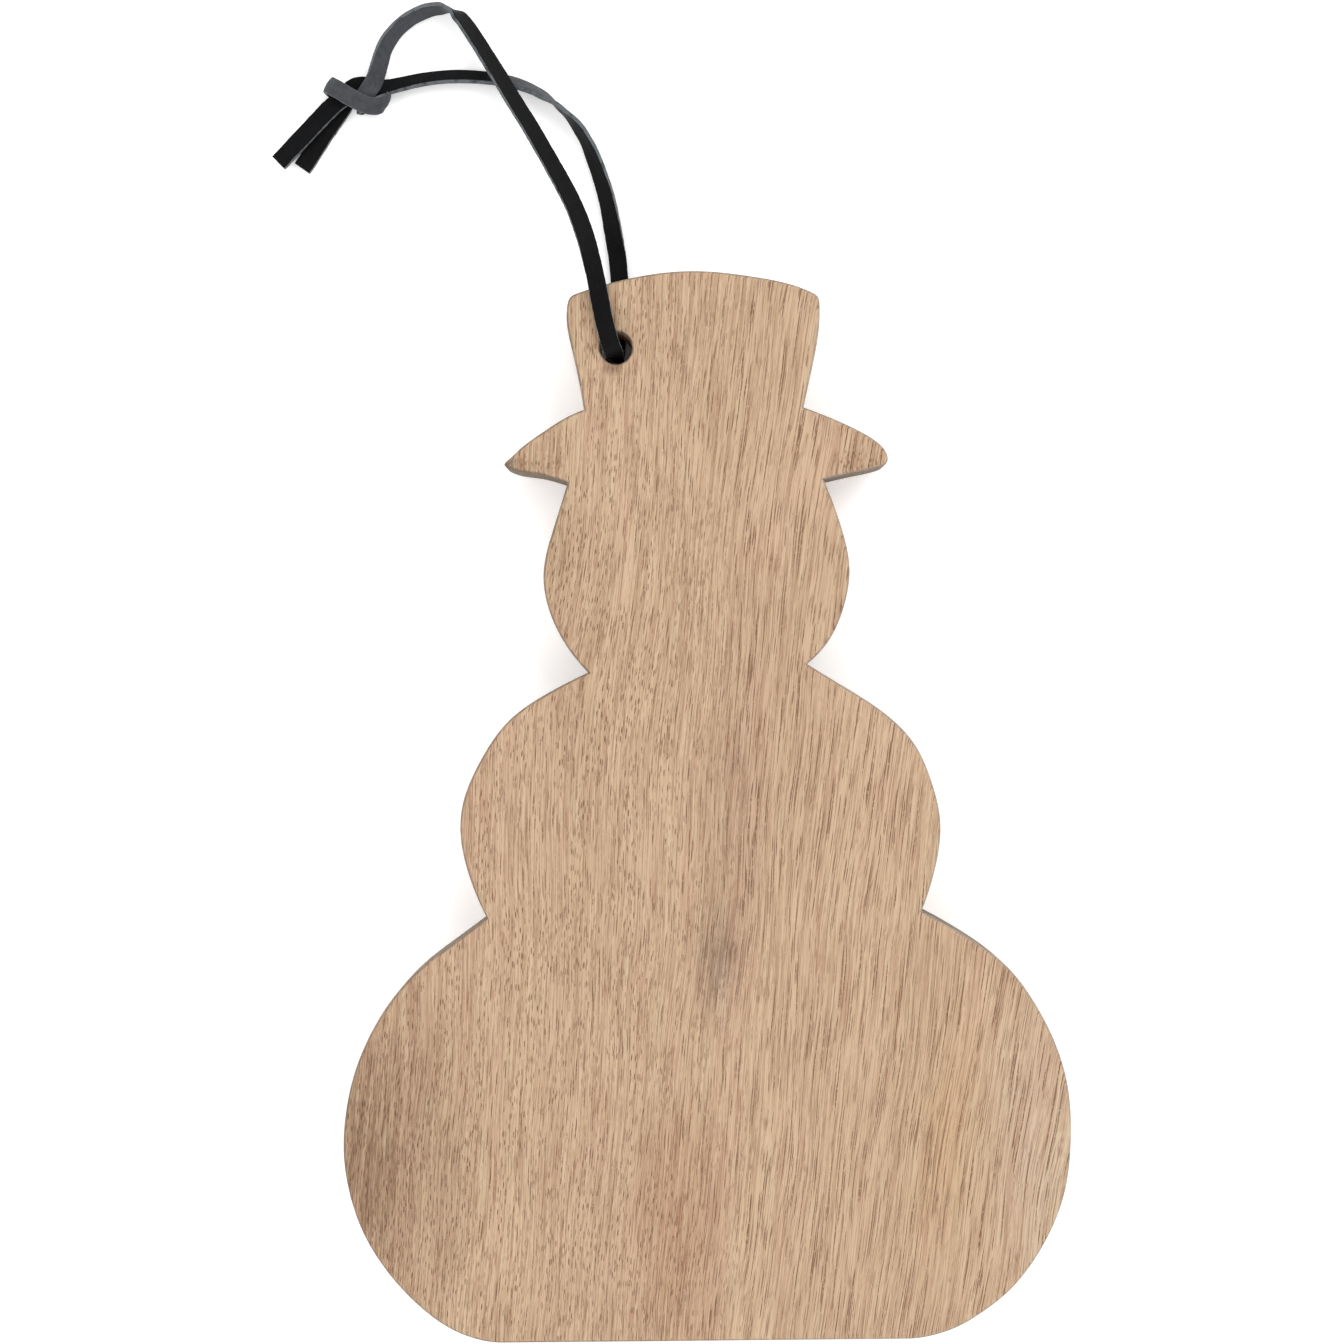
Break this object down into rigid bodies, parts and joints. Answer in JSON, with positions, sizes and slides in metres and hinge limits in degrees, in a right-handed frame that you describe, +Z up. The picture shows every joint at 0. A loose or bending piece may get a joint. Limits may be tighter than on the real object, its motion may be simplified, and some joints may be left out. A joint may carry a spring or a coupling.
{
  "type": "snowman-shaped hanging board",
  "caption": "Flat wooden board sawn to a snowman outline with a top hat, drilled through the hat and hung on a knotted flat leather lace.",
  "frame": {"origin": "on the table, under the middle of the board's outline", "axes": "+Y from the base of the snowman to its hat, +X to the right as its front face is seen, +Z up, out of the front face"},
  "size_m": [0.224, 0.3821, 0.0186],
  "materials": {
    "wood": "bare sanded, open pored, matt",
    "leather": "black smooth grain side, grey suede side, raw cut edges"
  },
  "bodies": {
    "board": {"board": "wood"},
    "lace": {"lace_front": "leather", "lace_back": "leather", "lace_knot": "leather", "lace_tail_left": "leather", "lace_tail_right": "leather"}
  },
  "joints": [
    {"name": "lace_swing", "type": "hinge", "parent": "board", "child": "lace", "pos_m": [-0.0234, 0.1286, 0], "axis": [0, 0, 1], "range_deg": [-40, 90]}
  ]
}
